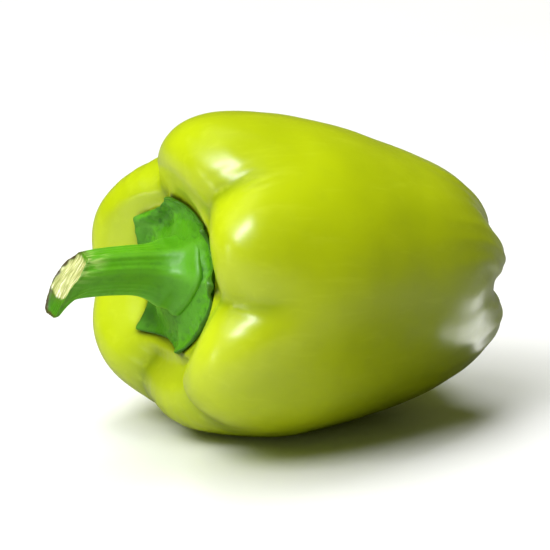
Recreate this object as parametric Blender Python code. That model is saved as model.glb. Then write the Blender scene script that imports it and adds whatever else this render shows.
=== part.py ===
"""A bell pepper lying on its side: the fruit, its calyx and its stem.

The pieces are shaped upright, with the stem up and the origin on the axis where the calyx
sits, and are then laid down with the stem towards -X. Metres, +Z up.
"""

import math

import bmesh
import bpy
import numpy as np
from mathutils import Matrix, Vector

MM = 0.001

# Driving dimensions
TILT = math.radians(8.0)        # the stem end is the wider one, so the axis slopes by this
PRESSED_FLAT = 0.9 * MM         # how much of each bottom lobe is flattened where it rests
SEAT_GAP = 0.35 * MM            # air between the fruit and the calyx, and the calyx and the stem

# The fruit's outline down the middle of a lobe, from the stem dip over the shoulder and
# down to the blossom end: radius, height, and how deep the creases between lobes are there
OUTLINE = (
    (0.0, -2.4, 0.00),
    (9.0, -2.0, 0.00),
    (16.5, -0.4, 0.35),
    (22.5, 3.6, 0.90),
    (28.5, 6.8, 1.00),
    (34.0, 5.6, 1.00),
    (38.2, 0.0, 0.90),
    (40.0, -10.0, 0.70),
    (39.6, -23.0, 0.42),
    (37.4, -36.0, 0.30),
    (34.3, -49.0, 0.30),
    (31.0, -61.0, 0.42),
    (27.0, -71.0, 0.64),
    (21.0, -79.5, 0.85),
    (14.0, -84.0, 0.90),
    (7.0, -83.0, 0.60),
    (0.0, -81.5, 0.00),
)
# Each lobe: its clock angle seen from the stem and how far that drifts towards the blossom
# end, how far out its bulge is centred and how far it reaches, both as shares of the
# outline's radius, and how much its shoulder is raised
LOBES = (
    (5.0, 0.0, 0.46, 1.009, 0.7),
    (62.0, -4.0, 0.54, 1.000, 0.4),
    (120.0, -3.0, 0.50, 1.020, 1.2),
    (177.5, 0.0, 0.48, 0.945, -1.8),
    (230.5, 0.0, 0.42, 1.011, 0.2),
    (279.0, -3.0, 0.42, 0.997, 1.2),
)
CREASE_SOFTNESS = (0.018, 0.035)  # how round a crease's bottom is, at the shoulder and mid body
CREASE_DROP = 45.0 * MM           # how far a crease falls below the shoulder, per share of depth
RAISE_SOFTNESS = 0.06             # how gently one lobe's raised shoulder runs into the next
SHOULDER = (0.08, 0.25, 0.30, 0.62)  # shares of the outline where the raise starts, is full and ends
DRIFT = (0.25, 0.60)              # shares of the outline between which the lobes drift
DIP_END = 0.30                    # share of the outline by which it has climbed out of the dip

# The calyx: clock angle and reach of each tooth
TEETH = (
    (39.0, 18.8),
    (81.0, 21.0),
    (160.0, 18.5),
    (218.0, 20.5),
    (302.0, 21.0),
    (343.0, 19.5),
)
TOOTH_WIDTH = math.radians(15.0)  # how fast a tooth narrows, as an angle from its tip
CALYX_INNER = 15.5 * MM           # reach between two teeth
CALYX_EDGE = 1.0 * MM             # thickness at the rim
CROWN_THICK = 3.2 * MM            # thickness under the stem
CROWN = (7.5 * MM, 18.7 * MM)     # distances between which it thins from one to the other

# The stem: its route, as distance out along the axis and distance down, then its size
STEM_ROUTE = ((0.0, 0.0), (9.0, 0.0), (17.0, -0.2), (23.5, 0.6), (29.5, 2.8), (34.0, 7.0))
STEM_RADIUS = 5.2 * MM
STEM_FLARE = 1.1                  # how much wider its foot is, as a share of the radius
STEM_TAPER = 0.12                 # how much narrower its far end is
STEM_RIDGES = 6
STEM_RIDGE = 0.05                 # how much a ridge stands out, as a share of the radius
STEM_CAP = 0.07                   # share of the rings that closes each end
CUT_SLANT = 0.8                   # how far the top of the cut end is set back, per height

FLOOR_CUTTER = 0.3                # side of the block that presses the resting spot flat
FRUIT_MESH = (72, 38)             # segments round the axis and rings along it
CALYX_MESH = (60, 16)
STEM_MESH = (24, 26)


def smoothstep(low, high, value):
    share = np.clip((value - low) / (high - low), 0.0, 1.0)
    return share * share * (3.0 - 2.0 * share)


def through(points, share):
    """The smooth curve through the points, read at a share of the way along it."""
    points = np.asarray(points, float)
    last = len(points) - 1
    at = np.clip(np.asarray(share, float), 0.0, 1.0) * last
    first = np.minimum(at.astype(int), last - 1)
    t = (at - first)[..., None]
    before = points[np.maximum(first - 1, 0)]
    start, end = points[first], points[first + 1]
    after = points[np.minimum(first + 2, last)]
    return 0.5 * (
        2.0 * start
        + (end - before) * t
        + (2.0 * before - 5.0 * start + 4.0 * end - after) * t**2
        + (3.0 * start - before - 3.0 * end + after) * t**3
    )


def lobed_section(share, clock, crease):
    """Radius of the cross-section as a share of the outline's, and the lobes' raise there."""
    softness = np.interp(crease, (0.4, 1.0), CREASE_SOFTNESS[::-1])
    drifted = smoothstep(*DRIFT, share)
    bulges, raises, weights = 0.0, 0.0, 0.0
    for angle, drift, offset, reach, raised in LOBES:
        out = offset * crease
        bulge = reach - out
        away = clock - np.radians(angle + drift * drifted)
        inside = np.maximum(bulge**2 - (out * np.sin(away)) ** 2, 0.0)
        beyond = out * np.cos(away) + np.sqrt(inside) - 1.0
        bulges = bulges + np.exp(beyond / softness)
        weight = np.exp(beyond / RAISE_SOFTNESS)
        raises = raises + weight * raised * MM
        weights = weights + weight
    return 1.0 + softness * np.log(bulges), raises / weights


def fruit_surface(share, clock):
    """Radius and height of the fruit's skin at a share of the way along its outline."""
    radius, height, crease = np.moveaxis(through(OUTLINE, share), -1, 0)
    section, raised = lobed_section(share, clock, np.clip(crease, 0.0, 1.0))
    section = 1.0 + (section - 1.0) * smoothstep(0.0, 0.35, crease)
    inwards = np.where(share < 0.5, -1.0, 1.0)
    drop = CREASE_DROP * smoothstep(0.42, 1.0, crease) * (1.0 - section) * inwards
    start, full, ending, end = SHOULDER
    shoulder = smoothstep(start, full, share) * (1.0 - smoothstep(ending, end, share))
    return radius * MM * section, height * MM + drop + raised * shoulder


def dip_height(radius, clock):
    """Height of the skin inside the stem dip, at this distance from the axis."""
    share = np.linspace(0.0, DIP_END, 61)
    heights = []
    for r, c in zip(np.ravel(radius), np.ravel(clock)):
        skin_radius, skin_height = fruit_surface(share, np.full(share.shape, c))
        heights.append(np.interp(r, skin_radius, skin_height))
    return np.reshape(heights, np.shape(radius))


def calyx_reach(clock):
    """Distance from the axis to the calyx's rim: pointed at the teeth, hollow between."""
    reach = np.full(np.shape(clock), CALYX_INNER)
    for angle, length in TEETH:
        away = np.abs((clock - math.radians(angle) + math.pi) % math.tau - math.pi)
        tooth = np.exp(-away / TOOTH_WIDTH)
        reach = np.maximum(reach, CALYX_INNER + (length * MM - CALYX_INNER) * tooth)
    return reach


def shaped_sphere(name, mesh_size, place, color, roughness):
    """A new object: a sphere whose rings and meridians are moved to where place() says."""
    segments, rings = mesh_size
    shape = bmesh.new()
    bmesh.ops.create_uvsphere(shape, u_segments=segments, v_segments=rings, radius=1.0)
    shape.verts.ensure_lookup_table()
    unit = np.array([v.co for v in shape.verts])
    share = np.arccos(np.clip(unit[:, 2], -1.0, 1.0)) / math.pi
    clock = -np.arctan2(unit[:, 1], unit[:, 0]) % math.tau
    for vertex, point in zip(shape.verts, place(share, clock)):
        vertex.co = point
    mesh = bpy.data.meshes.new(name)
    shape.to_mesh(mesh)
    shape.free()
    mesh.shade_smooth()
    mesh.materials.append(skin(name, color, roughness))
    return bpy.data.objects.new(name, mesh)


def skin(name, color, roughness):
    material = bpy.data.materials.new(name)
    material.use_nodes = True
    shader = material.node_tree.nodes["Principled BSDF"]
    shader.inputs["Base Color"].default_value = (*color, 1.0)
    shader.inputs["Roughness"].default_value = roughness
    shader.inputs["Metallic"].default_value = 0.0
    return material


def around(radius, clock, height):
    """Points at these distances and heights; the clock runs from +X as seen from the stem."""
    return np.stack([radius * np.cos(clock), -radius * np.sin(clock), height], axis=-1)


def fruit():
    def place(share, clock):
        radius, height = fruit_surface(share, clock)
        return around(radius, clock, height)

    return shaped_sphere("fruit", FRUIT_MESH, place, (0.50, 0.66, 0.02), 0.25)


def calyx():
    def place(share, clock):
        across = np.sin(share * math.pi)
        radius = calyx_reach(clock) * across
        under = dip_height(radius, clock) + SEAT_GAP
        thick = CROWN_THICK - (CROWN_THICK - CALYX_EDGE) * smoothstep(*CROWN, radius)
        rounded = np.sqrt(np.clip(2.0 - 4.0 * share, 0.0, 1.0))
        return around(radius, clock, under + thick * rounded)

    return shaped_sphere("calyx", CALYX_MESH, place, (0.08, 0.30, 0.03), 0.45)


def stem():
    route = np.array(STEM_ROUTE) * MM
    foot = OUTLINE[0][1] * MM + CROWN_THICK + 2.5 * SEAT_GAP

    def place(share, clock):
        along = np.clip((1.0 - STEM_CAP - share) / (1.0 - 2.0 * STEM_CAP), 0.0, 1.0)
        middle = through(route, along)
        ahead = through(route, along + 0.02) - through(route, along - 0.02)
        turn = np.arctan2(ahead[:, 1], ahead[:, 0])
        cap = smoothstep(0.0, STEM_CAP, np.minimum(share, 1.0 - share))
        flare = 1.0 + STEM_FLARE * smoothstep(0.34, 0.0, along) ** 1.5
        ridge = 1.0 + STEM_RIDGE * np.cos(STEM_RIDGES * clock)
        radius = STEM_RADIUS * flare * ridge * cap * (1.0 - STEM_TAPER * along)
        up, side = radius * np.cos(clock), -radius * np.sin(clock)
        back = CUT_SLANT * (up + STEM_RADIUS) * smoothstep(0.3, 1.0, along)
        return np.stack(
            [
                -middle[:, 1] + up * np.cos(turn) + back * np.sin(turn),
                side,
                foot + middle[:, 0] + up * np.sin(turn) - back * np.cos(turn),
            ],
            axis=-1,
        )

    return shaped_sphere("stem", STEM_MESH, place, (0.12, 0.36, 0.03), 0.45)


def clear_scene():
    for old in list(bpy.data.objects):
        bpy.data.objects.remove(old)


def lay_down(pieces):
    """Turn the upright pieces so that the stem points to -X, and set them on the floor."""
    turned = Matrix.Rotation(-(math.pi / 2 - TILT), 4, "Y")
    for piece in pieces:
        piece.data.transform(turned)
    corners = np.array([v.co for piece in pieces for v in piece.data.vertices])
    low, high = corners.min(axis=0), corners.max(axis=0)
    middle = (low + high) / 2
    drop = Matrix.Translation(Vector((-middle[0], -middle[1], -low[2] - PRESSED_FLAT)))
    for piece in pieces:
        piece.data.transform(drop)


def press_flat(piece, helpers):
    """Cut off what would be below the floor, which leaves the flat spots it rests on."""
    bpy.ops.mesh.primitive_cube_add(size=FLOOR_CUTTER, location=(0.0, 0.0, -FLOOR_CUTTER / 2))
    floor = bpy.context.object
    floor.name = "floor_cutter"
    floor.hide_render = True
    floor.display_type = "WIRE"
    for old in floor.users_collection:
        old.objects.unlink(floor)
    helpers.objects.link(floor)
    cut = piece.modifiers.new("resting_spots", "BOOLEAN")
    cut.operation = "DIFFERENCE"
    cut.object = floor


def main():
    clear_scene()
    pepper = bpy.data.collections.new("bell_pepper")
    helpers = bpy.data.collections.new("cutters")
    bpy.context.scene.collection.children.link(pepper)
    bpy.context.scene.collection.children.link(helpers)
    pieces = [fruit(), calyx(), stem()]
    for piece in pieces:
        pepper.objects.link(piece)
    lay_down(pieces)
    press_flat(pieces[0], helpers)


main()
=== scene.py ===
import math

import bmesh
import bpy
import numpy as np
from mathutils import Matrix, Vector, noise


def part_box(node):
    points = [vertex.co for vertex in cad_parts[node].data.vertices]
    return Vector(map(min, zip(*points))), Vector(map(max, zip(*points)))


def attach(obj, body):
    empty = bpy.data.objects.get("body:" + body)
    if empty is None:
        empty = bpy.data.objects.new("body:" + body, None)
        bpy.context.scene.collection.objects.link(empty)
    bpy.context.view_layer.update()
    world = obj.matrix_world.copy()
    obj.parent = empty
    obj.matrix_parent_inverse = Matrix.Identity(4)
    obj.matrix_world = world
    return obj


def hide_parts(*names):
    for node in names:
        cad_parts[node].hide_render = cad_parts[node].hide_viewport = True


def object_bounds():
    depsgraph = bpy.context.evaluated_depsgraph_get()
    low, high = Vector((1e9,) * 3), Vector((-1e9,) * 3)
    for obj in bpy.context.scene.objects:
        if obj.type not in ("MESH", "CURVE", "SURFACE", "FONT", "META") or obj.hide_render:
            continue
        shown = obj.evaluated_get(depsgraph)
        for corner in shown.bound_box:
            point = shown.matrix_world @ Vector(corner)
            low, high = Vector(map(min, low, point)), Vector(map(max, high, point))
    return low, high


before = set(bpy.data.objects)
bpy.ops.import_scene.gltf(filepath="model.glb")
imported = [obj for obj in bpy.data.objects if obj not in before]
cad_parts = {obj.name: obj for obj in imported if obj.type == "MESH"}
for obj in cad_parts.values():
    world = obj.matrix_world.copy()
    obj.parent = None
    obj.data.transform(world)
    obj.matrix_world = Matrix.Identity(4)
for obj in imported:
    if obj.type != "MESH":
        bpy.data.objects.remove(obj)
cadLow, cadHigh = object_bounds()
print("frame loaded:", ", ".join(sorted(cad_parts)))

mm = 0.001
scene = bpy.context.scene


# Everything below is shaped upright, stem up, on the axis where the calyx sits, and then laid
# down as the frame lies. Clock angles run as seen from the stem: 0 is up once it lies down,
# 90 is the near side.

def smoothStep(low, high, value):
    # 0 at low, 1 at high; the other way round where low is the larger
    share = np.clip((value - low) / (high - low), 0.0, 1.0)
    return share * share * (3.0 - 2.0 * share)


def plateau(span, value):
    # rises between the span's first two numbers and falls between its last two
    start, full, fades, gone = span
    return smoothStep(start, full, value) * (1.0 - smoothStep(fades, gone, value))


def bump(value, middle, width):
    return np.exp(-((value - middle) / width) ** 2)


def clockGap(clock, degrees):
    # how far round a point is from this clock angle, in radians, signed
    return (clock - math.radians(degrees) + math.pi) % math.tau - math.pi


def through(points, share):
    # the smooth curve through the points, read at a share of the way along it
    points = np.asarray(points, float)
    last = len(points) - 1
    at = np.clip(np.asarray(share, float), 0.0, 1.0) * last
    first = np.minimum(at.astype(int), last - 1)
    t = (at - first)[..., None]
    before = points[np.maximum(first - 1, 0)]
    start, end = points[first], points[first + 1]
    after = points[np.minimum(first + 2, last)]
    return 0.5 * (
        2.0 * start
        + (end - before) * t
        + (2.0 * before - 5.0 * start + 4.0 * end - after) * t**2
        + (3.0 * start - before - 3.0 * end + after) * t**3
    )


def grain(points, size, seed):
    # smooth noise from -1 to 1 at each point, with lumps of about this size
    shift = Vector((seed * 7.3, seed * 3.1, seed * 5.7))
    return np.array([noise.noise(Vector(p) + shift) for p in points / size])


# The fruit

fruitLook = {
    "segments": 400,
    "rings": 190,
    "tilt": 8.0,               # slope of the axis, stem end up, in degrees
    "outline": (               # down the middle of a lobe, mm: radius, height, crease depth
        (0.0, -2.4, 0.00),
        (9.0, -2.0, 0.00),
        (16.5, -0.4, 0.35),
        (22.5, 3.6, 0.90),
        (28.5, 6.8, 1.00),
        (34.0, 5.6, 1.00),
        (38.2, 0.0, 0.90),
        (40.0, -10.0, 0.70),
        (39.6, -23.0, 0.42),
        (37.4, -36.0, 0.30),
        (34.3, -49.0, 0.30),
        (31.0, -61.0, 0.42),
        (27.0, -71.0, 0.64),
        (21.0, -79.5, 0.85),
        (14.0, -84.0, 0.90),
        (7.0, -83.0, 0.60),
        (0.0, -81.5, 0.00),
    ),
    "lobes": (                 # clock, its drift towards the tip, offset, reach, raise in mm
        (5.0, 0.0, 0.46, 1.009, 0.7),
        (62.0, -4.0, 0.54, 1.000, 0.4),
        (120.0, -3.0, 0.50, 1.020, 1.2),
        (177.5, 0.0, 0.48, 0.945, -1.8),
        (230.5, 0.0, 0.42, 1.011, 0.2),
        (279.0, -3.0, 0.42, 0.997, 1.2),
    ),
    "drift": (0.25, 0.60),     # where down the fruit the lobes drift
    "creaseSoftness": (0.045, 0.036),     # of shallow creases and of deep ones
    "creaseDrop": 45.0,        # mm, how far the skin turns in along a crease
    "dents": ((0.45, 24.0, 1), (0.16, 9.0, 2)),     # height mm, size mm, seed
    "pleats": 0.10,            # mm, fine folds running out of each crease
    "pleatCount": 58.0,
    "tipWrinkles": 0.16,       # mm, lengthwise, towards the blossom end
    "wrinkleCount": 31.0,
    "sway": (1.5, 14.0, 3),    # how unevenly both run: strength, size mm, seed
    "ripples": {               # a few short folds across the first crease
        "height": 0.13,        # mm
        "clock": 39.0,
        "spread": 5.0,         # degrees
        "spacing": 3.8,        # degrees
        "place": (0.39, 0.035),     # down the fruit: middle and length
        "lean": (0.38, 30.0),  # they stand straight here, and turn this many degrees
    },
    "spans": {                 # down the fruit: where each starts, is full, fades and is gone
        "raise": (0.08, 0.25, 0.30, 0.62),
        "pleats": (0.10, 0.20, 0.34, 0.52),
        "tipWrinkles": (0.60, 0.80, 0.84, 0.93),
        "shoulder": (0.08, 0.16, 0.22, 0.45),
        "foldShade": (0.10, 0.16, 0.38, 0.60),
    },
    "scarRadius": 2.6,         # mm, of the blossom scar
    "scarDepth": 0.35,         # mm
    "shadeWidth": 1.1,         # mm, of the painted shadow line along the calyx's rim
    "pressedSoftness": 0.3,    # mm, how gently the skin bends into the resting spot
}


def lobedSection(share, clock, crease):
    # radius as a share of the outline's, the raise of the lobes' shoulders, and 1 along the line
    # where two lobes meet
    softness = np.interp(crease, (0.4, 1.0), fruitLook["creaseSoftness"])
    drifted = smoothStep(*fruitLook["drift"], share)
    bulges, strongest, raises, weights = 0.0, 0.0, 0.0, 0.0
    for angle, drift, offset, reach, raised in fruitLook["lobes"]:
        out = offset * crease
        bulge = reach - out
        away = clock - np.radians(angle + drift * drifted)
        inside = np.maximum(bulge**2 - (out * np.sin(away)) ** 2, 0.0)
        beyond = out * np.cos(away) + np.sqrt(inside) - 1.0
        bulges = bulges + np.exp(beyond / softness)
        strongest = np.maximum(strongest, np.exp(beyond / softness))
        weight = np.exp(beyond / 0.06)     # the raise changes more gently than the skin
        raises = raises + weight * raised
        weights = weights + weight
    return 1.0 + softness * np.log(bulges), raises / weights, 2.0 * (1.0 - strongest / bulges)


def fruitSkin(share, clock):
    # radius and height of the skin, how deep in a crease it is, and 1 along the crease's bottom
    radius, height, crease = np.moveaxis(through(fruitLook["outline"], share), -1, 0)
    section, raised, line = lobedSection(share, clock, np.clip(crease, 0.0, 1.0))
    section = 1.0 + (section - 1.0) * smoothStep(0.0, 0.35, crease)     # round near the axis
    inwards = np.where(share < 0.5, -1.0, 1.0)
    drop = fruitLook["creaseDrop"] * smoothStep(0.42, 1.0, crease) * (1.0 - section) * inwards
    raised = raised * plateau(fruitLook["spans"]["raise"], share)
    return radius * section * mm, (height + drop + raised) * mm, 1.0 - section, line


def dipHeight(radius, clock):
    # height of the skin in the stem dip, at this distance from the axis
    share = np.linspace(0.0, 0.3, 49)     # from the axis out past the calyx
    skinRadius, skinHeight = fruitSkin(share[None, :], np.ravel(clock)[:, None])[:2]
    flat = np.ravel(radius)
    after = np.clip((skinRadius < flat[:, None]).sum(axis=1), 1, len(share) - 1)
    rows = np.arange(len(flat))
    low, high = skinRadius[rows, after - 1], skinRadius[rows, after]
    part = np.clip((flat - low) / (high - low), 0.0, 1.0)
    heights = skinHeight[rows, after - 1] * (1.0 - part) + skinHeight[rows, after] * part
    return heights.reshape(np.shape(radius))


def around(radius, clock, height):
    return np.stack([radius * np.cos(clock), -radius * np.sin(clock), height], axis=-1)


turnDown = np.array(Matrix.Rotation(-(math.pi / 2 - math.radians(fruitLook["tilt"])), 3, "Y"))


def seatPlace():
    # where the seat of the calyx is, from where the frame's fruit lies
    share, clock = np.meshgrid(np.linspace(0.0, 1.0, 161), np.linspace(0.0, math.tau, 181))
    radius, height = fruitSkin(share, clock)[:2]
    lying = around(radius, clock, height) @ turnDown.T
    return np.array(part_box("fruit")[1]) - lying.reshape(-1, 3).max(axis=0)


seat = seatPlace()


def layDown(upright):
    return upright @ turnDown.T + seat


def meshPiece(name, mesh, upright, masks, material):
    # one shown piece: its points laid down, and the masks its material reads
    mesh.vertices.foreach_set("co", layDown(upright).ravel())
    mesh.attributes.new("upright", "FLOAT_VECTOR", "POINT").data.foreach_set("vector", upright.ravel())
    for maskName, values in masks.items():
        mesh.attributes.new(maskName, "FLOAT", "POINT").data.foreach_set("value", values)
    mesh.shade_smooth()
    mesh.materials.append(material)
    mesh.update()
    piece = bpy.data.objects.new(name, mesh)
    scene.collection.objects.link(piece)
    return piece


def sphereMesh(name, segments, rings):
    # a closed ball with poles, and each point's share of the way down and clock angle
    shape = bmesh.new()
    bmesh.ops.create_uvsphere(shape, u_segments=segments, v_segments=rings, radius=1.0)
    mesh = bpy.data.meshes.new(name)
    shape.to_mesh(mesh)
    shape.free()
    unit = np.empty(len(mesh.vertices) * 3)
    mesh.vertices.foreach_get("co", unit)
    unit = unit.reshape(-1, 3)
    share = np.arccos(np.clip(unit[:, 2], -1.0, 1.0)) / math.pi
    return mesh, share, -np.arctan2(unit[:, 1], unit[:, 0]) % math.tau


def fruitRelief(base, share, clock, crease):
    # height in mm of the dents, pleats, ripples and wrinkles over the plain lobes
    look, spans = fruitLook, fruitLook["spans"]
    dents = sum(high * grain(base, size * mm, seed) for high, size, seed in look["dents"])
    relief = dents * smoothStep(0.13, 0.26, share)     # none in the stem dip
    strength, size, seed = look["sway"]
    sway = strength * grain(base, size * mm, seed)
    pleats = np.sin(look["pleatCount"] * clock + sway) * smoothStep(0.02, 0.09, crease)
    relief += look["pleats"] * pleats * plateau(spans["pleats"], share)
    ripples = look["ripples"]
    straight, lean = ripples["lean"]
    off = np.degrees(clockGap(clock, ripples["clock"])) + lean * (share - straight)
    waves = np.sin(math.tau * off / ripples["spacing"]) * bump(off, 0.0, ripples["spread"])
    relief += ripples["height"] * waves * bump(share, *ripples["place"])
    wrinkles = np.sin(look["wrinkleCount"] * clock + 2.0 * sway) * plateau(spans["tipWrinkles"], share)
    uneven = 0.6 + 0.4 * grain(base, 20 * mm, 4)
    return relief + look["tipWrinkles"] * wrinkles * uneven


def makeFruit(material):
    look, spans = fruitLook, fruitLook["spans"]
    mesh, share, clock = sphereMesh("fruitSkin", look["segments"], look["rings"])
    radius, height, crease, line = fruitSkin(share, clock)
    base = around(radius, clock, height)
    out = around(np.ones_like(clock), clock, 0.0 * clock)
    out[:, 2] = np.where(share < 0.5, 1.0, -1.0) * np.abs(np.cos(share * math.pi)) ** 3
    out /= np.linalg.norm(out, axis=1, keepdims=True)
    upright = base + out * (fruitRelief(base, share, clock, crease) * mm)[:, None]
    tipRadius = np.where(share > 0.5, radius, 1.0) / (look["scarRadius"] * mm)
    scar = 1.0 - smoothStep(0.75, 1.1, tipRadius + 0.2 * grain(base, 1.5 * mm, 5))
    upright[:, 2] -= look["scarDepth"] * mm * scar
    # press the underside flat where it rests
    lying = layDown(upright)
    soft = look["pressedSoftness"] * mm
    lying[:, 2] = soft * np.logaddexp(0.0, lying[:, 2] / soft)
    upright = (lying - seat) @ turnDown
    fromCalyx = (radius - calyxReach(clock)) / mm
    masks = {
        # painted shade in the creases
        "crease": smoothStep(0.01, 0.12, crease) * smoothStep(0.0, 0.1, share),
        "shoulder": plateau(spans["shoulder"], share),
        # painted shade at the bottom of the creases by the calyx
        "foldShade": line * smoothStep(0.02, 0.08, crease) * plateau(spans["foldShade"], share),
        # painted shadow along the calyx's rim
        "under": bump(fromCalyx, 0.0, look["shadeWidth"]) * (share < 0.35),
        "tip": smoothStep(0.62, 0.98, share),
        "scar": scar,
    }
    piece = meshPiece("fruitSkin", mesh, upright, masks, material)
    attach(piece, "root")
    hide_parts("fruit")
    return piece


# The calyx

calyxLook = {
    "segments": 288,
    "rings": 96,
    "teeth": (                 # clock, reach in mm, width in degrees
        (39.0, 18.8, 12.0),
        (81.0, 21.0, 13.0),
        (160.0, 18.4, 16.0),
        (218.0, 20.2, 15.0),
        (302.0, 20.8, 36.0),
        (343.0, 19.4, 34.0),
    ),
    "toothRounding": 0.03,     # radians, at the very tip
    "between": 15.2,           # mm, reach between two teeth
    "edge": 1.1,               # mm, thickness at the rim
    "rimRounding": 0.5,        # mm
    "rimShade": (0.1, 1.1),    # mm in from the edge that the painted shade along the rim ends
    "thinnest": 0.6,           # mm
    "crown": 3.6,              # mm, thickness under the stalk's foot
    "ring": (68.0, 0.85),      # clock of the ring that the foot stands on, its spread in radians
    "crownSpan": (11.6, 14.6),     # mm, where the crown thins on the ring's side
    "coneSpan": (8.0, 16.5),   # mm, and elsewhere
    "rib": 0.55,               # mm, height of the rib out to each tooth
    "ribWidth": 1.5,           # mm
    "ribSpan": (9.0, 14.0),    # mm from the axis, where it rises
    "pits": (                  # clock, out, depth and width in mm
        (224.0, 16.6, 2.4, 5.0),
        (262.0, 13.5, 0.9, 3.0),
        (322.0, 14.4, 0.9, 3.0),
        (20.0, 14.4, 0.6, 3.0),
    ),
    "curl": 0.8,               # mm, how far the tooth tips lift
    "curlSpan": (0.5, 4.0),    # mm beyond the reach between teeth
    "gap": 0.08,               # mm, over the skin
    "warts": ((0.32, 1.7, 11), (0.14, 0.8, 12)),     # height mm, size mm, seed
    "wartSpan": (11.0, 14.0),  # mm from the axis, where they start
    "wartier": (318.0, 0.9, 0.8),     # clock, spread in radians, how much more they stand out
}


def calyxReach(clock):
    look = calyxLook
    reach = np.full(np.shape(clock), look["between"])
    for angle, length, width in look["teeth"]:
        away = np.sqrt(clockGap(clock, angle) ** 2 + look["toothRounding"] ** 2) - look["toothRounding"]
        tooth = np.exp(-away / math.radians(width))
        reach = np.maximum(reach, look["between"] + (length - look["between"]) * tooth)
    return reach * mm


def ringShare(clock):
    # the foot stands up as a ring on the near side and melts into the calyx elsewhere
    angle, spread = calyxLook["ring"]
    return bump(clockGap(clock, angle), 0.0, spread)


def pitAt(radius, clock, angle, middle, width):
    # 1 in the middle of a pit, 0 away from it
    side = clockGap(clock, angle) * radius / mm
    return bump(side, 0.0, width) * bump(radius / mm, middle, 0.57 * width)


def ribsAt(radius, clock, width):
    # 1 along each rib of the calyx
    out = radius / mm
    lines = sum(bump(clockGap(clock, tooth[0]) * out, 0.0, width) for tooth in calyxLook["teeth"])
    return lines * smoothStep(*calyxLook["ribSpan"], out)


def calyxTop(radius, clock):
    # height of the calyx's upper face over the skin, away from its rim
    look = calyxLook
    ring = ringShare(clock)
    inner = look["coneSpan"][0] + (look["crownSpan"][0] - look["coneSpan"][0]) * ring
    outer = look["coneSpan"][1] + (look["crownSpan"][1] - look["coneSpan"][1]) * ring
    thick = look["crown"] + (look["edge"] - look["crown"]) * smoothStep(inner, outer, radius / mm)
    thick = thick + look["rib"] * ribsAt(radius, clock, look["ribWidth"])
    for angle, middle, depth, width in look["pits"]:
        thick = thick - depth * pitAt(radius, clock, angle, middle, width)
    return np.maximum(thick, look["thinnest"])


def calyxWarts(points, radius, clock):
    look = calyxLook
    angle, spread, more = look["wartier"]
    warts = sum(high * grain(points, size * mm, seed) for high, size, seed in look["warts"])
    warts = warts * smoothStep(*look["wartSpan"], radius / mm)
    return warts * (1.0 + more * bump(clockGap(clock, angle), 0.0, spread))


def makeCalyx(material):
    look = calyxLook
    mesh, share, clock = sphereMesh("calyxStar", look["segments"], look["rings"])
    reach = calyxReach(clock)
    radius = reach * np.sin(share * math.pi)
    under = dipHeight(radius, clock)
    edge = (reach - radius) / mm
    rounded = np.sqrt(np.clip(edge / look["rimRounding"], 0.0, 1.0))
    top = calyxTop(radius, clock) + calyxWarts(around(radius, clock, under), radius, clock)
    above = np.where(share <= 0.5, top * rounded, 0.0)
    tooth = smoothStep(*look["curlSpan"], radius / mm - look["between"])
    upright = around(radius, clock, under + (above + look["curl"] * tooth + look["gap"]) * mm)
    pit = sum(
        min(1.0, 0.4 * depth) * pitAt(radius, clock, angle, middle, width)     # painted shade, darker in the deep ones
        for angle, middle, depth, width in look["pits"]
    )
    masks = {
        # painted shade in the calyx's pits
        "pit": np.clip(pit, 0.0, 1.0),
        "rib": np.clip(ribsAt(radius, clock, 0.87 * look["ribWidth"]), 0.0, 1.0),
        # painted shade along the calyx's rim
        "rim": 1.0 - smoothStep(*look["rimShade"], edge),
    }
    piece = meshPiece("calyxStar", mesh, upright, masks, material)
    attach(piece, "root")
    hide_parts("calyx")
    return piece


# The stalk, with the foot that flares over the calyx

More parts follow.
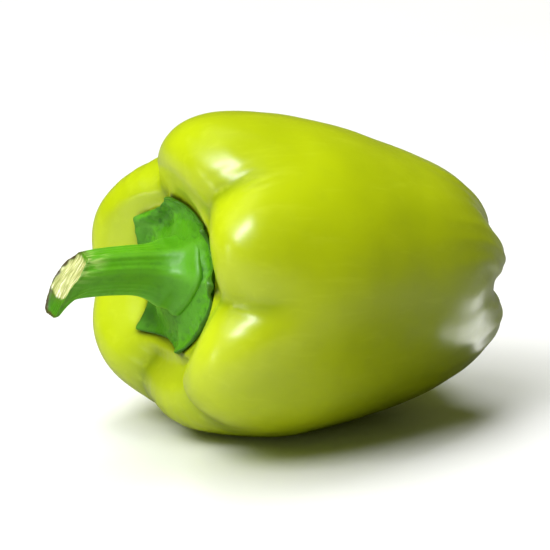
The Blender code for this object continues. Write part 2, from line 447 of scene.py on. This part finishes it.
stalkLook = {
    "segments": 160,
    "rings": 150,
    "capRings": 26,
    "route": (                 # mm: out along the axis, up
        (0.0, 0.4), (6.0, 1.2), (12.4, 1.8), (19.0, 1.6), (24.0, 1.1),
        (28.5, 0.3), (33.0, -0.9), (38.0, -2.8), (46.0, -7.0),
    ),
    "profile": (               # mm: distance along the route, radius
        (0.4, 10.8), (1.4, 12.3), (2.6, 12.7), (3.4, 12.1), (4.0, 10.8), (4.8, 9.4),
        (6.0, 8.1), (8.0, 6.9), (11.0, 6.1), (15.0, 5.7), (20.0, 5.5), (25.0, 5.3),
        (30.0, 5.0), (35.0, 4.8), (40.0, 4.7), (46.0, 4.6),
    ),
    "footSpan": (5.0, 11.0),   # mm along, where the foot turns into the stalk
    "rib": 0.5,                # mm, height of the ribs that run from the teeth
    "footRib": 1.1,            # mm, the same on the foot
    "ribWidth": 0.26,          # radians
    "ribMean": 0.45,           # taken off, so that ribs don't make it thicker
    "twist": -4.0,             # degrees that the ribs turn above the foot
    "twistSpan": (4.0, 12.0),  # mm along
    "striae": (0.05, 26.0, 0.06),     # mm high, how many round, how they turn
    "narrowed": (0.24, 3.0, 7.0),     # share of the foot away from the ring, mm along
    "sunkFoot": (1.6, 2.5, 8.0),      # mm, the same
    "hollow": (196.0, 0.45, 2.5, 3.0, 2.2),     # clock, radians wide, mm along, length, depth
    "hollowShade": (214.0, 0.6, 0.8, 4.0, 9.0),     # clock, radians, strength, mm along
    "cutMiddle": (31.1, -0.5), # mm: out, up
    "cutSlant": 35.0,          # degrees that the cut face looks up from the axis
    "hang": (4.0, 0.8),        # mm that the lower lip of the cut hangs down and back
    "hangLength": 8.0,         # mm along
    "lipEnd": -9.3,            # mm, how low the lip may reach
    "lipRounding": 0.7,        # mm
    "lipCurl": 0.10,           # how strongly it curls back under
    "lipTop": (-3.0, -6.0),    # mm, up, where the cut face gives way to it
    "sunk": 0.35,              # mm, how deep the dried pith lies
    "wall": 0.12,              # mm, how far the skin stands up round it
    "fibres": ((0.10, 0.8, 22), (0.12, 2.4, 23)),     # height mm, size mm, seed
    "dried": (0.3, 1.3),       # mm from the cut where the brown edge ends
    "driedMost": (190.0, 0.6), # clock and radians
    "pale": (0.5, 7.0, 40.0, 0.7),     # streaks behind the cut: mm from it, clock, radians
}


def stalkRoute(distance):
    # place and direction (out, up) at a distance along the route
    points = through(stalkLook["route"], np.linspace(0.0, 1.0, 400))
    length = np.concatenate([[0.0], np.cumsum(np.linalg.norm(np.diff(points, axis=0), axis=1))])

    def placeAt(far):
        return np.stack([np.interp(far, length, points[:, i]) for i in (0, 1)], axis=-1)

    along = placeAt(distance + 0.6) - placeAt(distance - 0.6)
    return placeAt(distance), along / np.linalg.norm(along, axis=-1, keepdims=True)


def stalkRibs(distance, clock, width):
    # 1 along each rib, which runs on from a tooth of the calyx
    turn = math.radians(stalkLook["twist"]) * smoothStep(*stalkLook["twistSpan"], distance)
    return sum(bump(clockGap(clock - turn, tooth[0]), 0.0, width) for tooth in calyxLook["teeth"])


def stalkSkin(share, clock):
    # (up, side, out) in mm of the stalk's skin, and the distance along its route
    look = stalkLook
    distance, radius = np.moveaxis(through(look["profile"], share), -1, 0)
    place, along = stalkRoute(distance)
    foot = 1.0 - smoothStep(*look["footSpan"], distance)
    melted = 1.0 - ringShare(clock)
    narrowed, near, far = look["narrowed"]
    radius = radius * (1.0 - narrowed * melted * (1.0 - smoothStep(near, far, distance)))
    angle, spread, middle, length, depth = look["hollow"]
    radius = radius - depth * bump(clockGap(clock, angle), 0.0, spread) * bump(distance, middle, length)
    ribs = stalkRibs(distance, clock, look["ribWidth"]) - look["ribMean"]
    radius = radius + ribs * (look["rib"] + (look["footRib"] - look["rib"]) * foot)
    high, count, turn = look["striae"]
    radius = radius + high * np.sin(count * clock + turn * distance) * (1.0 - foot)
    rise, side = radius * np.cos(clock), radius * np.sin(clock)
    up = place[..., 1] + rise * along[..., 0]
    out = place[..., 0] - rise * along[..., 1]
    sunkFoot, near, far = look["sunkFoot"]
    out = out - sunkFoot * melted * (1.0 - smoothStep(near, far, distance))
    return np.stack([up, -side, out], axis=-1), distance


def driedShare(clocks):
    # how brown the edge of the cut is round the stalk, most on its far and lower side
    angle, spread = stalkLook["driedMost"]
    far = smoothStep(-0.2, 0.6, -np.sin(clocks))
    return 0.3 + 0.7 * np.maximum(far, bump(clockGap(clocks, angle), 0.0, spread))


def stalkSides(clocks, cutMiddle, cutNormal):
    # rings of points from the foot to the cut, with their masks
    look = stalkLook
    tries = np.linspace(0.3, 1.0, 600)     # where each line along the stalk may meet the cut
    dense = stalkSkin(tries[None, :], clocks[:, None])[0]
    end = tries[np.argmax((dense - cutMiddle) @ cutNormal > 0.0, axis=1)]
    endDistance = through(look["profile"], end)[:, 0]
    lower = np.clip(-np.cos(clocks), 0.0, 1.0) ** 1.6
    angle, spread, strength, near, far = look["hollowShade"]
    shade = strength * bump(clockGap(clocks, angle), 0.0, spread)
    paleFull, paleGone, paleClock, paleSpread = look["pale"]
    pale = bump(clockGap(clocks, paleClock), 0.0, paleSpread)
    rings, masks = [], {"cutRim": [], "pit": [], "rib": [], "dry": []}
    for step in np.linspace(0.0, 1.0, look["rings"]):
        share = step * end.mean() + (end - end.mean()) * step**3
        points, distance = stalkSkin(share, clocks)
        toRim = endDistance - distance
        hang = lower * (1.0 - smoothStep(0.0, look["hangLength"], toRim))
        points[:, 0] -= look["hang"][0] * hang
        points[:, 2] -= look["hang"][1] * hang
        if step > 0.5:
            # round the lip off and curl it under
            soft = look["lipRounding"]
            points[:, 0] = look["lipEnd"] + soft * np.logaddexp(0.0, (points[:, 0] - look["lipEnd"]) / soft)
            points[:, 2] -= look["lipCurl"] * np.clip(look["lipTop"][1] - points[:, 0], 0.0, None) ** 2
        rings.append(points)
        uneven = toRim + 0.7 * grain(points, 2.5, 21)
        ribs = 0.9 * stalkRibs(distance, clocks, 0.54 * look["ribWidth"]) + 0.5 * bump(distance, 2.5, 0.7)
        masks["cutRim"].append(driedShare(clocks) * (1.0 - smoothStep(*look["dried"], uneven)))
        masks["pit"].append(shade * (1.0 - smoothStep(near, far, distance)))
        masks["rib"].append(np.clip(ribs, 0.0, 1.0))
        masks["dry"].append(pale * (1.0 - smoothStep(paleFull, paleGone, toRim)))
    return rings, masks


def stalkCut(clocks, rimLine, cutNormal):
    # rings of points from the rim to the middle of the cut face, with their masks
    look = stalkLook
    middle = rimLine.mean(axis=0)
    rings, masks = [], {"cutFace": [], "cutRim": [], "pit": []}
    for scale in np.linspace(0.985, 0.04, look["capRings"]):
        points = middle + (rimLine - middle) * scale
        sunk = look["sunk"] * smoothStep(0.96, 0.80, scale) - look["wall"] * bump(scale, 0.97, 0.02)
        fibres = sum(high * grain(points, size, seed) for high, size, seed in look["fibres"])
        points = points - cutNormal * (sunk + fibres * smoothStep(0.97, 0.85, scale))[:, None]
        rings.append(points)
        uneven = grain(points, 1.6, 24)
        ragged = scale + 0.10 * uneven + 0.6 * smoothStep(*look["lipTop"], points[:, 0])
        onFace = smoothStep(look["lipTop"][1] - 1.0, look["lipTop"][0], points[:, 0])
        edge = smoothStep(0.90, 0.96, scale + 0.06 * uneven)
        brown = np.maximum(edge, smoothStep(0.80, 0.93, ragged) * onFace)
        masks["cutFace"].append(smoothStep(0.93, 0.84, ragged))
        masks["cutRim"].append(driedShare(clocks) * brown)
        # painted shade on the lip under the cut face
        masks["pit"].append(0.55 * (1.0 - onFace))
    return rings, masks


def tubeMesh(name, rings):
    # a closed tube through rings that all have the same number of points
    shape = bmesh.new()
    made = [[shape.verts.new(p) for p in ring] for ring in rings]
    for low, high in zip(made, made[1:]):
        for i in range(len(low)):
            j = (i + 1) % len(low)
            shape.faces.new((low[i], low[j], high[j], high[i]))
    shape.faces.new(made[-1])
    shape.faces.new(list(reversed(made[0])))
    shape.normal_update()
    bmesh.ops.recalc_face_normals(shape, faces=shape.faces)
    mesh = bpy.data.meshes.new(name)
    shape.to_mesh(mesh)
    shape.free()
    return mesh


def makeStalk(material):
    look = stalkLook
    clocks = np.arange(look["segments"]) / look["segments"] * math.tau
    slant = math.radians(look["cutSlant"])
    cutMiddle = np.array([look["cutMiddle"][1], 0.0, look["cutMiddle"][0]])
    cutNormal = np.array([math.sin(slant), 0.0, math.cos(slant)])
    sides, sideMasks = stalkSides(clocks, cutMiddle, cutNormal)
    cut, cutMasks = stalkCut(clocks, sides[-1], cutNormal)
    masks = {}
    for name in ("cutFace", "cutRim", "pit", "rib", "dry"):
        onSides = sideMasks.get(name, [0.0 * clocks] * len(sides))
        onCut = cutMasks.get(name, [0.0 * clocks] * len(cut))
        masks[name] = np.concatenate(onSides + onCut)
    upright = np.concatenate(sides + cut) * mm
    piece = meshPiece("stalk", tubeMesh("stalk", sides + cut), upright, masks, material)
    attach(piece, "root")
    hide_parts("stem")
    return piece


# Materials

class Wire:
    # one output socket of a node tree, so that shader maths reads as plain sums
    def __init__(self, tree, socket=None):
        self.tree = tree
        self.socket = socket

    def node(self, kind, settings=None, values=None, output=0):
        made = self.tree.nodes.new(kind)
        for name, value in (settings or {}).items():
            setattr(made, name, value)
        for name, value in (values or {}).items():
            if isinstance(value, Wire):
                self.tree.links.new(value.socket, made.inputs[name])
            else:
                made.inputs[name].default_value = value
        return Wire(self.tree, made.outputs[output])

    def maths(self, operation, first, second):
        wires = [w for w in (first, second) if isinstance(w, Wire)]
        kind = "ShaderNodeMath"
        if any(w.socket.type == "VECTOR" for w in wires):
            kind = "ShaderNodeVectorMath"
        return self.node(kind, {"operation": operation}, {0: first, 1: second})

    def __add__(self, other):
        return self.maths("ADD", self, other)

    def __radd__(self, other):
        return self.maths("ADD", other, self)

    def __sub__(self, other):
        return self.maths("SUBTRACT", self, other)

    def __rsub__(self, other):
        return self.maths("SUBTRACT", other, self)

    def __mul__(self, other):
        return self.maths("MULTIPLY", self, other)

    def __rmul__(self, other):
        return self.maths("MULTIPLY", other, self)

    def between(self, low, high):
        # 0 below low, 1 above high, smooth in between
        return self.node(
            "ShaderNodeMapRange", {"interpolation_type": "SMOOTHSTEP"},
            {"Value": self, "From Min": low, "From Max": high},
        )

    def mixed(self, first, second):
        # this value takes the colour from the first to the second: sockets 0, 6, 7, and 2 out
        return self.node("ShaderNodeMix", {"data_type": "RGBA"}, {0: self, 6: first, 7: second}, 2)

    def mask(self, name):
        return self.node("ShaderNodeAttribute", {"attribute_name": name}, output="Fac")

    def upright(self):
        # the place on the piece as it was shaped, stem up
        return self.node("ShaderNodeAttribute", {"attribute_name": "upright"}, output="Vector")

    def noise(self, place, size, detail=2.0, roughness=0.5):
        # noise from 0 to 1 with lumps of about this size in mm
        return self.node(
            "ShaderNodeTexNoise", {"normalize": True},
            {"Vector": place, "Scale": 1.0 / (size * mm), "Detail": detail, "Roughness": roughness},
        )

    def bumped(self, height, depth, distance):
        # self is the normal it starts from, or the tree alone; distance in mm
        values = {"Height": height, "Strength": depth, "Distance": distance * mm}
        if self.socket:
            values["Normal"] = self
        return self.node("ShaderNodeBump", {}, values)


def newMaterial(name):
    material = bpy.data.materials.new(name)
    material.use_nodes = True
    shader = material.node_tree.nodes["Principled BSDF"]
    return material, shader, Wire(material.node_tree)


def setShader(shader, values):
    for name, value in values.items():
        if isinstance(value, Wire):
            value.tree.links.new(value.socket, shader.inputs[name])
        else:
            shader.inputs[name].default_value = value


def colour(red, green, blue):
    # an sRGB colour, 0 to 255, as the linear one a socket takes
    parts = [c / 255.0 for c in (red, green, blue)]
    return (*(c / 12.92 if c <= 0.04045 else ((c + 0.055) / 1.055) ** 2.4 for c in parts), 1.0)


skinLook = {
    "body": colour(187, 204, 4),
    "deep": colour(165, 184, 2),       # painted shade in the creases, and the skin's own slow patches and mottle
    "foldShade": colour(132, 152, 2),       # painted shade at the bottom of the creases by the calyx
    "under": colour(66, 84, 4),        # painted shadow along the calyx's rim
    "pale": colour(204, 219, 46),      # on the shoulders
    "tip": colour(156, 170, 3),
    "scar": colour(142, 118, 62),
    "laid": (                          # mask, colour, strength, each over the last
        # painted shade in the creases
        ("crease", "deep", 0.5),
        # painted shade at the bottom of the creases by the calyx
        ("foldShade", "foldShade", 0.8),
        # painted shadow along the calyx's rim
        ("under", "under", 0.9),
        # darker towards the blossom end
        ("tip", "tip", 0.6),
    ),
    "shoulderPale": 0.55,
    "patches": (30.0, 0.4),            # mm, strength
    "streaks": (2.2, 0.22),
    "mottle": (3.2, 0.10),
    "specks": (1.3, 0.05),
    "scarBrown": 0.85,
    "roughness": (0.30, 0.38),
    "coat": (0.7, 0.24),               # weight, roughness
    "glow": (0.15, 3.0),               # weight of light through the skin, mm deep
}


def skinMaterial():
    look = skinLook
    material, shader, tree = newMaterial("pepperSkin")
    place = tree.upright()
    slow = tree.noise(place, look["patches"][0])
    streaks = tree.noise(place * (1.0, 1.0, 0.12), look["streaks"][0], 3.0)
    mottle = tree.noise(place, look["mottle"][0], 3.0, 0.6)
    specks = tree.node(
        "ShaderNodeTexVoronoi", {"feature": "F1"},
        {"Vector": place, "Scale": 1.0 / (look["specks"][0] * mm)},
    )
    base = (slow.between(0.4, 0.7) * look["patches"][1]).mixed(look["body"], look["deep"])
    shoulder = tree.mask("shoulder") * look["shoulderPale"] * (1.0 - slow.between(0.3, 0.7))
    base = shoulder.mixed(base, look["pale"])
    # painted shade in the creases, at their bottom by the calyx and along the calyx's rim; then darker
    # towards the blossom end
    for mask, laid, strength in look["laid"]:
        base = (tree.mask(mask) * strength).mixed(base, look[laid])
    base = (streaks.between(0.52, 0.72) * look["streaks"][1]).mixed(base, look["pale"])
    base = (mottle.between(0.5, 0.75) * look["mottle"][1]).mixed(base, look["deep"])
    base = ((1.0 - specks.between(0.06, 0.16)) * look["specks"][1]).mixed(base, look["pale"])
    base = (tree.mask("scar") * look["scarBrown"]).mixed(base, look["scar"])
    low, high = look["roughness"]
    waves = tree.noise(place, 5.0) * 0.6 + streaks * 0.1
    relief = tree.bumped(waves, 0.25, 0.25).bumped(tree.noise(place, 0.55), 0.06, 0.04)
    setShader(shader, {
        "Base Color": base,
        "Roughness": low + (high - low) * mottle.between(0.35, 0.65) + 0.3 * tree.mask("scar"),
        "Normal": relief,
        "IOR": 1.45,
        "Specular IOR Level": 0.5,
        "Subsurface Weight": look["glow"][0],
        "Subsurface Radius": (1.0, 0.9, 0.15),
        "Subsurface Scale": look["glow"][1] * mm,
        "Coat Weight": look["coat"][0],
        "Coat Roughness": look["coat"][1],
    })
    return material


greenLook = {
    "leaf": colour(82, 155, 14),
    "light": colour(88, 162, 22),
    "ridge": colour(104, 176, 44),
    "dark": colour(36, 92, 12),
    "shaded": colour(26, 66, 10),      # painted shade deep under the stalk, in the calyx's pits and under the cut's lip
    "rim": colour(40, 76, 14),         # painted shade along the calyx's rim
    "dry": colour(172, 206, 112),      # pale streaks near the cut
    "dried": colour(74, 64, 30),       # round the cut end
    "pith": colour(206, 208, 146),
    "pithDark": colour(150, 156, 84),
    "pithPale": colour(246, 246, 226),
    "roughness": (0.36, 0.5),
    "glow": (0.08, 1.5),               # weight of light through it, mm deep
    # how far the lines are stretched lengthwise, how dark the patches are, strength of the relief
    "calyx": (1.0, 0.6, 0.8),
    "stalk": (0.10, 0.2, 0.4),
}


def cutEnd(tree, base, place, lines):
    # pale streaks behind the cut, its brown edge and the fibres of the pith
    look = greenLook
    fibres = tree.noise(place * (0.12, 1.0, 0.12), 0.45)
    pith = fibres.between(0.35, 0.62).mixed(look["pithDark"], look["pith"])
    pith = fibres.between(0.60, 0.70).mixed(pith, look["pithPale"])
    base = (tree.mask("dry") * lines.between(0.42, 0.6)).mixed(base, look["dry"])
    base = tree.mask("cutRim").mixed(base, look["dried"])
    return tree.mask("cutFace").mixed(base, pith)


def greenMaterial(name, part):
    look = greenLook
    stretch, darkness, depth = look[part]
    material, shader, tree = newMaterial(name)
    place = tree.upright()
    slow = tree.noise(place, 7.0)
    lines = tree.noise(place * (1.0, 1.0, stretch), 0.9, 3.0)
    patches = tree.noise(place, 2.2, 3.0, 0.6)
    low, high = look["roughness"]
    rough = low + (high - low) * patches.between(0.3, 0.7)
    base = slow.between(0.35, 0.65).mixed(look["leaf"], look["light"])
    base = (patches.between(0.5, 0.72) * darkness).mixed(base, look["dark"])
    base = (lines.between(0.5, 0.7) * 0.4).mixed(base, look["light"])
    base = (tree.mask("rib") * 0.45).mixed(base, look["ridge"])
    # painted shade in the calyx's pits, the hollow by the stalk's foot and under the cut's lip
    base = (tree.mask("pit") * 0.85).mixed(base, look["shaded"])
    if part == "calyx":
        # painted shade along the calyx's rim
        base = (tree.mask("rim") * 0.65).mixed(base, look["rim"])
    else:
        base = cutEnd(tree, base, place, lines)
        rough = rough + 0.25 * tree.mask("cutFace")
    setShader(shader, {
        "Base Color": base,
        "Roughness": rough,
        "Normal": tree.bumped(patches * 0.6 + lines * 0.5, depth, 0.25),
        "Subsurface Weight": look["glow"][0],
        "Subsurface Radius": (0.5, 1.0, 0.1),
        "Subsurface Scale": look["glow"][1] * mm,
    })
    return material


fruit = makeFruit(skinMaterial())
print("fruit made:", len(fruit.data.vertices), "points")
calyx = makeCalyx(greenMaterial("calyxGreen", "calyx"))
print("calyx made:", len(calyx.data.vertices), "points")
stalk = makeStalk(greenMaterial("stalkGreen", "stalk"))
print("stalk made:", len(stalk.data.vertices), "points")


# Floor, light and camera

studio = {
    "floorSize": 6.0,
    "floor": (0.92, 0.92, 0.96, 1.0),      # as it is seen
    "bounce": (0.88, 0.88, 0.84, 1.0),     # how bright it is to the part it lights
    "shade": (0.09, 0.09, 0.07, 1.0),      # and where another thing would stand in its light
    "shadeMiddle": (0.062, -0.070, 0.0),
    "shadeRadius": (0.04, 0.09),
    "dull": 0.75,                          # share of its brightness lost in the gloss
    "floorRoughness": (0.22, 0.06),        # least, and what its grain adds
    "white": (1.0, 1.0, 1.0, 1.0),         # behind the part
    "backdrop": 1.2,                       # how bright that is
    "tint": (0.92, 1.0, 0.25, 1.0),        # of the light all round, as if other fruit lay about
    "surround": 0.085,                     # how bright that is
    "mirrored": 0.04,                      # and how much brighter in the gloss
    "roll": -38.0,                         # lean of the lamps, in degrees
    # name, azimuth, elevation, distance, width, height, power, colour, lights it, shows in the gloss
    "lights": (
        ("key", -98.0, 61.0, 2.6, 2.4, 2.4, 61.0, (1.0, 1.0, 0.97), True, False),
        ("back", 150.0, 66.0, 3.0, 1.6, 1.6, 54.0, (1.0, 1.0, 1.0), True, False),
        ("fill", -68.0, 3.0, 2.2, 1.2, 0.5, 3.8, (0.97, 1.0, 0.80), True, False),
        ("front", -76.0, 48.0, 2.0, 0.9, 0.9, 20.5, (1.0, 1.0, 0.98), True, False),
        ("window", -45.0, 51.0, 2.0, 0.46, 1.4, 34.0, (0.88, 0.90, 1.0), False, True),
        ("side", -80.0, 10.0, 2.0, 0.4, 0.45, 2.4, (1.0, 1.0, 0.96), False, True),
    ),
    # a low glow on the floor beyond the blossom end, which only the skin's gloss shows
    "sheenPlace": (0.109, -0.031, 0.002),
    "sheenSize": (0.085, 0.035),
    "sheenPower": 0.029,
    "aim": (-0.0066, -0.0116, 0.0015),     # m from the middle of the part
    "azimuth": -29.9,
    "elevation": 16.2,
    "distance": 0.955,                     # m
    "frameWidth": 0.1313,                  # m, at the part
    "sensor": 36.0,                        # mm
}


def sightFrom(azimuth, elevation):
    a, e = math.radians(azimuth), math.radians(elevation)
    return Vector((math.sin(a) * math.cos(e), -math.cos(a) * math.cos(e), math.sin(e)))


def aimedAt(thing, place, target):
    thing.location = place
    thing.rotation_euler = (place - target).to_track_quat("Z", "Y").to_euler()
    scene.collection.objects.link(thing)


def makeFloor():
    bpy.ops.mesh.primitive_plane_add(size=studio["floorSize"])
    floor = bpy.context.object
    floor.name = "floor"
    material, shader, tree = newMaterial("paleFloor")
    place = tree.node("ShaderNodeTexCoord", output="Object")
    seen = tree.node("ShaderNodeLightPath", output="Is Camera Ray")
    glossy = tree.node("ShaderNodeLightPath", output="Is Glossy Ray")
    away = tree.node(
        "ShaderNodeVectorMath", {"operation": "DISTANCE"}, {0: place, 1: studio["shadeMiddle"]}, "Value"
    )
    lent = away.between(*studio["shadeRadius"]).mixed(studio["shade"], studio["bounce"])
    lent = (glossy * studio["dull"]).mixed(lent, (0.0, 0.0, 0.0, 1.0))
    least, more = studio["floorRoughness"]
    setShader(shader, {
        "Base Color": seen.mixed(lent, studio["floor"]),
        "Roughness": least + more * tree.noise(place, 40.0),
        "Specular IOR Level": 0.35,
    })
    floor.data.materials.append(material)


def makeSurround():
    # white behind the part, and a dimmer, tinted light on it
    world = bpy.data.worlds.new("surround")
    world.use_nodes = True
    scene.world = world
    tree = Wire(world.node_tree)
    seen = tree.node("ShaderNodeLightPath", output="Is Camera Ray")
    glossy = tree.node("ShaderNodeLightPath", output="Is Glossy Ray")
    strength = studio["surround"] + glossy * studio["mirrored"]
    strength = strength + seen * (studio["backdrop"] - studio["surround"])
    setShader(world.node_tree.nodes["Background"], {
        "Color": seen.mixed(studio["tint"], studio["white"]),
        "Strength": strength,
    })


def newLamp(name, width, height, power, tint, lights, mirrored):
    light = bpy.data.lights.new(name, "AREA")
    light.shape = "RECTANGLE"
    light.size, light.size_y = width, height
    light.energy = power
    light.color = tint
    lamp = bpy.data.objects.new(name, light)
    lamp.visible_diffuse = lights
    lamp.visible_glossy = mirrored
    lamp.visible_camera = False
    return lamp


def makeLights(middle):
    roll = Matrix.Rotation(math.radians(studio["roll"]), 3, "Z")
    for name, azimuth, elevation, distance, *finish in studio["lights"]:
        lamp = newLamp(name, *finish)
        aimedAt(lamp, middle + sightFrom(azimuth, elevation) * distance, middle)
        lamp.rotation_euler = (lamp.rotation_euler.to_matrix() @ roll).to_euler()
    sheen = newLamp("sheen", *studio["sheenSize"], studio["sheenPower"], (1.0, 1.0, 1.0), False, True)
    sheen.location = studio["sheenPlace"]
    sheen.rotation_euler = (math.pi, 0.0, 0.0)     # shining up
    scene.collection.objects.link(sheen)


def makeCamera(middle):
    camera = bpy.data.cameras.new("camera")
    camera.sensor_width = studio["sensor"]
    camera.lens = studio["sensor"] * studio["distance"] / studio["frameWidth"]
    thing = bpy.data.objects.new("camera", camera)
    target = middle + Vector(studio["aim"])
    sight = sightFrom(studio["azimuth"], studio["elevation"])
    aimedAt(thing, target + sight * studio["distance"], target)
    scene.camera = thing


partMiddle = (cadLow + cadHigh) / 2
makeFloor()
makeSurround()
makeLights(partMiddle)
makeCamera(partMiddle)
scene.view_settings.view_transform = "Standard"
print("floor, lights and camera set")
